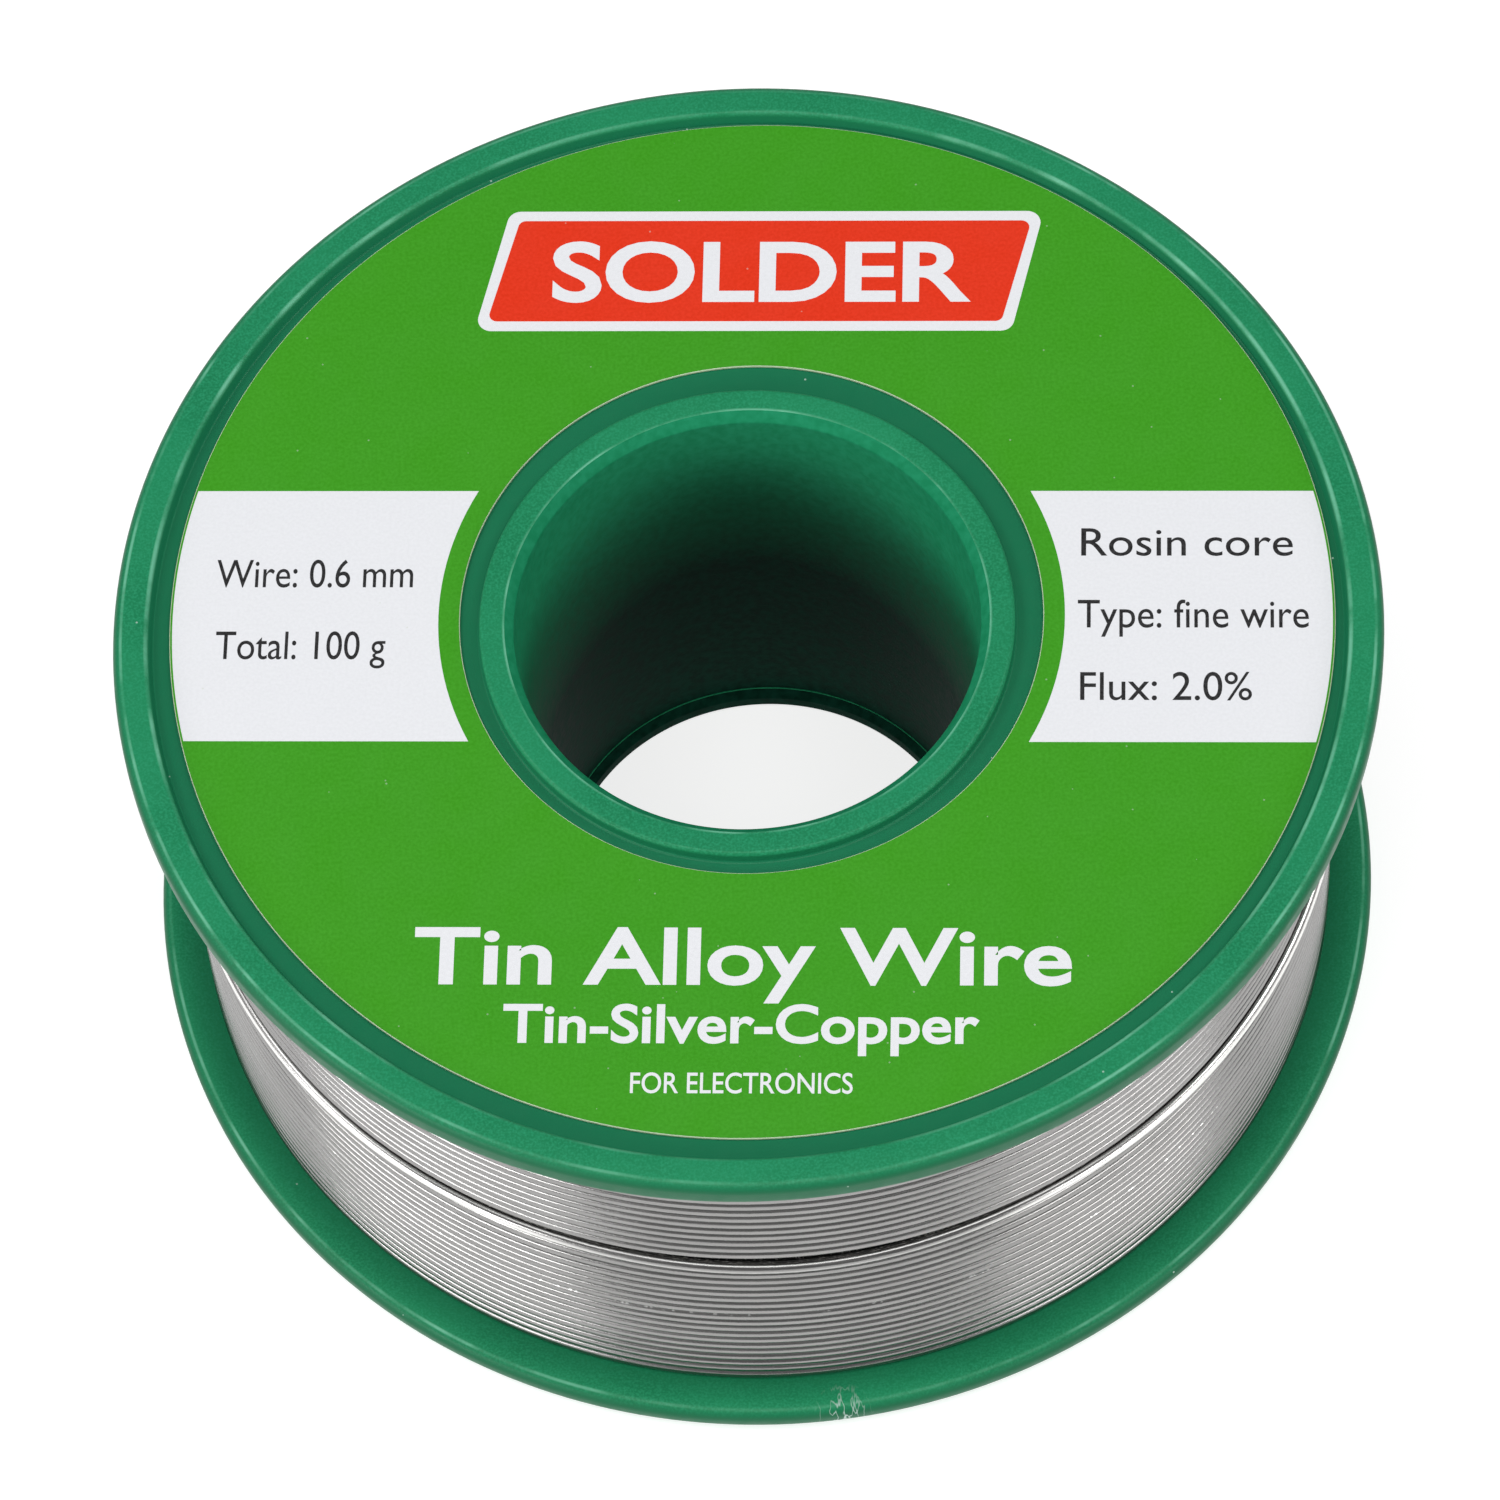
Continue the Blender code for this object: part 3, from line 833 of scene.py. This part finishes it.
def wobble(amount, waves):
    """A smooth random function of the angle, the same each run."""
    parts = [
        (RANDOM.uniform(0.4, 1.0), RANDOM.uniform(0.2, 1.0) * waves, RANDOM.uniform(0, math.tau))
        for _ in range(5)
    ]
    total = sum(size for size, _, _ in parts)

    def value(angle):
        return sum(s * np.sin(w * angle + p) for s, w, p in parts) * amount / total

    return value


def smooth(x):
    """An even rise from 0 to 1 as x goes from 0 to 1."""
    x = np.clip(x, 0.0, 1.0)
    return x * x * (3 - 2 * x)


def tube_points(angles, radii, heights, sides, tube_radius):
    """The points of a round tube whose middle runs round the Z axis, in millimetres."""
    turn = np.arange(sides) * math.tau / sides
    reach = radii[:, None] + tube_radius * np.cos(turn)[None, :]
    x = reach * np.cos(angles)[:, None]
    y = reach * np.sin(angles)[:, None]
    z = heights[:, None] + tube_radius * np.sin(turn)[None, :]
    return np.stack([x, y, z], axis=2).reshape(-1, 3)


def wire_faces(count, sides, hollow):
    """The faces of a wire of count rings, and those of its bore and ring-shaped ends if hollow."""
    faces = []
    bore = count * sides
    last = bore - sides
    pairs = [(j, (j + 1) % sides) for j in range(sides)]
    for here in range(0, last, sides):
        there = here + sides
        for j, k in pairs:
            faces.append((here + j, there + j, there + k, here + k))
            if hollow:
                faces.append((bore + here + k, bore + there + k, bore + there + j, bore + here + j))
    if not hollow:
        faces.append(tuple(range(sides)))
        faces.append(tuple(last + j for j in reversed(range(sides))))
        return faces
    for j, k in pairs:
        faces.append((j, k, bore + k, bore + j))
        faces.append((last + k, last + j, bore + last + j, bore + last + k))
    return faces


def wire_mesh(name, angles, radii, heights, sides, bore=0.0, wire_radius=WIRE_RADIUS):
    """A round wire round the Z axis, with closed ends, or a tube if bore is more than 0."""
    rings = [wire_radius, bore] if bore else [wire_radius]
    blocks = [tube_points(angles, radii, heights, sides, ring) for ring in rings]
    points = np.concatenate(blocks) * MM
    faces = wire_faces(len(angles), sides, bore > 0.0)
    mesh = bpy.data.meshes.new(name)
    mesh.from_pydata(points.tolist(), [], faces)
    mesh.shade_smooth()
    mesh.set_sharp_from_angle(angle=math.radians(50))
    return mesh


def turns(count, first_z, pitch, steps):
    """The turn number, angle and height at each step along count turns.

    Each turn steps up to the next one just before the take-off angle.
    """
    t = np.linspace(0, count, count * steps + 1)
    whole = np.minimum(np.floor(t), count - 1)
    part = t - whole
    step = smooth((part - (1 - CROSSOVER)) / CROSSOVER)
    return t, TAKE_OFF_ANGLE + t * math.tau, first_z + pitch * (whole + step)


def sunk_at_ends(turns_from_end):
    """How far the wire lies below its layer where it comes up from the one below."""
    return LAYER_RISE * (1 - smooth(turns_from_end / DIVE))


def strayed(t, angles):
    """How much a lower turn strays: 1 for the last turn at the spool's sides, 0 at front and back."""
    part = t % 1.0
    away_from_back = smooth((part - 0.3) / 0.1) * smooth((0.9 - part) / 0.1)
    late = np.exp((t - TURNS_BELOW_GAP + 0.5) / STRAY_FADE)
    return (1 - np.sin(angles) ** 12) * away_from_back * late


def make_turns_below(solder, radius, first_z):
    """The outer layer below the gap. Its last turn is loose and rises to the take-off."""
    pitch = (GAP_Z - GAP_HALF - first_z) / (TURNS_BELOW_GAP - 1)
    t, angles, heights = turns(TURNS_BELOW_GAP, first_z, pitch, OUTER_STEPS)
    radii = radius + wobble(*BUMPY_RADIUS)(angles) - sunk_at_ends(t)
    loose = smooth((t - TURNS_BELOW_GAP + 0.97) / 0.2) * smooth((TURNS_BELOW_GAP - t) / 0.2)
    stray = strayed(t, angles)
    radii = radii + LOOSE_LIFT * loose + STRAY_LIFT * stray**3
    leaving = smooth((t - TURNS_BELOW_GAP + CROSSOVER) / CROSSOVER)
    heights = heights + wobble(*BUMPY_HEIGHT)(angles) * (1 - leaving)
    heights = heights + (GAP_HALF - pitch) * leaving + STRAY_RISE * stray
    mesh = wire_mesh("turns_below", angles, radii, heights, OUTER_SIDES)
    piece = add_piece("turns_below", mesh, solder)
    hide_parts("outer_turns_lower")


def make_turns_above(solder, radius, last_z):
    """The outer layer above the gap, which ends where it comes down from the layer below."""
    pitch = (last_z - GAP_Z - GAP_HALF) / (TURNS_ABOVE_GAP - 1)
    t, angles, heights = turns(TURNS_ABOVE_GAP, GAP_Z + GAP_HALF, pitch, OUTER_STEPS)
    keep = t < TURNS_ABOVE_GAP - CROSSOVER
    t, angles, heights = t[keep], angles[keep], heights[keep]
    radii = radius + wobble(*BUMPY_RADIUS)(angles) - sunk_at_ends(np.minimum(t, t[-1] - t))
    heights = heights + wobble(*BUMPY_HEIGHT)(angles)
    mesh = wire_mesh("turns_above", angles, radii, heights, OUTER_SIDES)
    piece = add_piece("turns_above", mesh, solder)
    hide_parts("outer_turns_upper")


def make_under_layer(shaded, radius, first_z, last_z):
    """The layer below, whose turns lie between the turns of the outer layer and show in the gap."""
    count = TURNS_BELOW_GAP + TURNS_ABOVE_GAP
    pitch = (last_z - first_z) / count
    _, angles, heights = turns(count, first_z + pitch / 2, pitch, UNDER_STEPS)
    keep = heights < last_z - pitch / 2 + 0.01
    angles, heights = angles[keep], heights[keep]
    radii = radius + wobble(*BUMPY_UNDER_RADIUS)(angles)
    heights = heights + wobble(*BUMPY_UNDER_HEIGHT)(angles)
    mesh = wire_mesh("turns_under", angles, radii, heights, UNDER_SIDES)
    piece = add_piece("turns_under", mesh, shaded)
    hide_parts("winding_layer_08")


def make_winding(solder, shaded):
    """The outer layer of turns on either side of the gap, and the layer that shows in the gap."""
    radius = OUTER_WINDING_RADIUS - WIRE_RADIUS
    first_z = WINDING_LOW + WIRE_RADIUS - END_SQUEEZE
    last_z = WINDING_HIGH - WIRE_RADIUS + END_SQUEEZE
    make_turns_below(solder, radius, first_z)
    make_turns_above(solder, radius, last_z)
    make_under_layer(shaded, radius - LAYER_RISE, first_z, last_z)


def make_wire_ends(solder, flux):
    """The short stretch that leaves the winding, and the free end in the gap with its flux core."""
    radius = OUTER_WINDING_RADIUS - WIRE_RADIUS + END_LIFT
    share = np.linspace(0, 1, 9)
    angles = TAKE_OFF_ANGLE + TAKE_OFF_ARC * share
    radii = np.full(len(share), radius)
    heights = np.full(len(share), GAP_Z)
    take_off = wire_mesh("take_off", angles, radii, heights, END_SIDES)
    piece = add_piece("take_off", take_off, solder)
    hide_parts("wire_take_off")

    share = np.linspace(0, 1, 61)
    angles = TAKE_OFF_ANGLE + TAKE_OFF_ARC + END_GAP_ARC + FREE_END_ARC * share
    radii = radius + TIP_LIFT * smooth((share - 0.8) / 0.2)
    heights = GAP_Z + 0.05 * np.sin(9 * share)
    sheath = wire_mesh("wire_end", angles, radii, heights, END_SIDES, SHEATH_BORE_RADIUS)
    piece = add_piece("wire_end", sheath, solder, "free_end")
    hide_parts("free_end_sheath")
    core = wire_mesh("wire_end_core", angles, radii, heights, CORE_SIDES, 0.0, FLUX_CORE_RADIUS)
    piece = add_piece("wire_end_core", core, flux, "free_end")
    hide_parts("free_end_flux_core")


def dress_hidden_nodes(solder):
    """The inner layers and the wire's first end keep their own solids."""
    for name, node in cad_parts.items():
        if name.startswith("winding_layer") or name == "wire_start":
            node.data.materials.clear()
            node.data.materials.append(solder)


def main():
    make_camera()
    make_studio()
    plastic, bore = plastic_material(), bore_material()
    make_upper_moulding(plastic, bore)
    make_lower_moulding(plastic, bore)
    make_label()
    solder = solder_material()
    make_winding(solder, shaded_solder_material())
    make_wire_ends(solder, flux_material())
    dress_hidden_nodes(solder)


main()
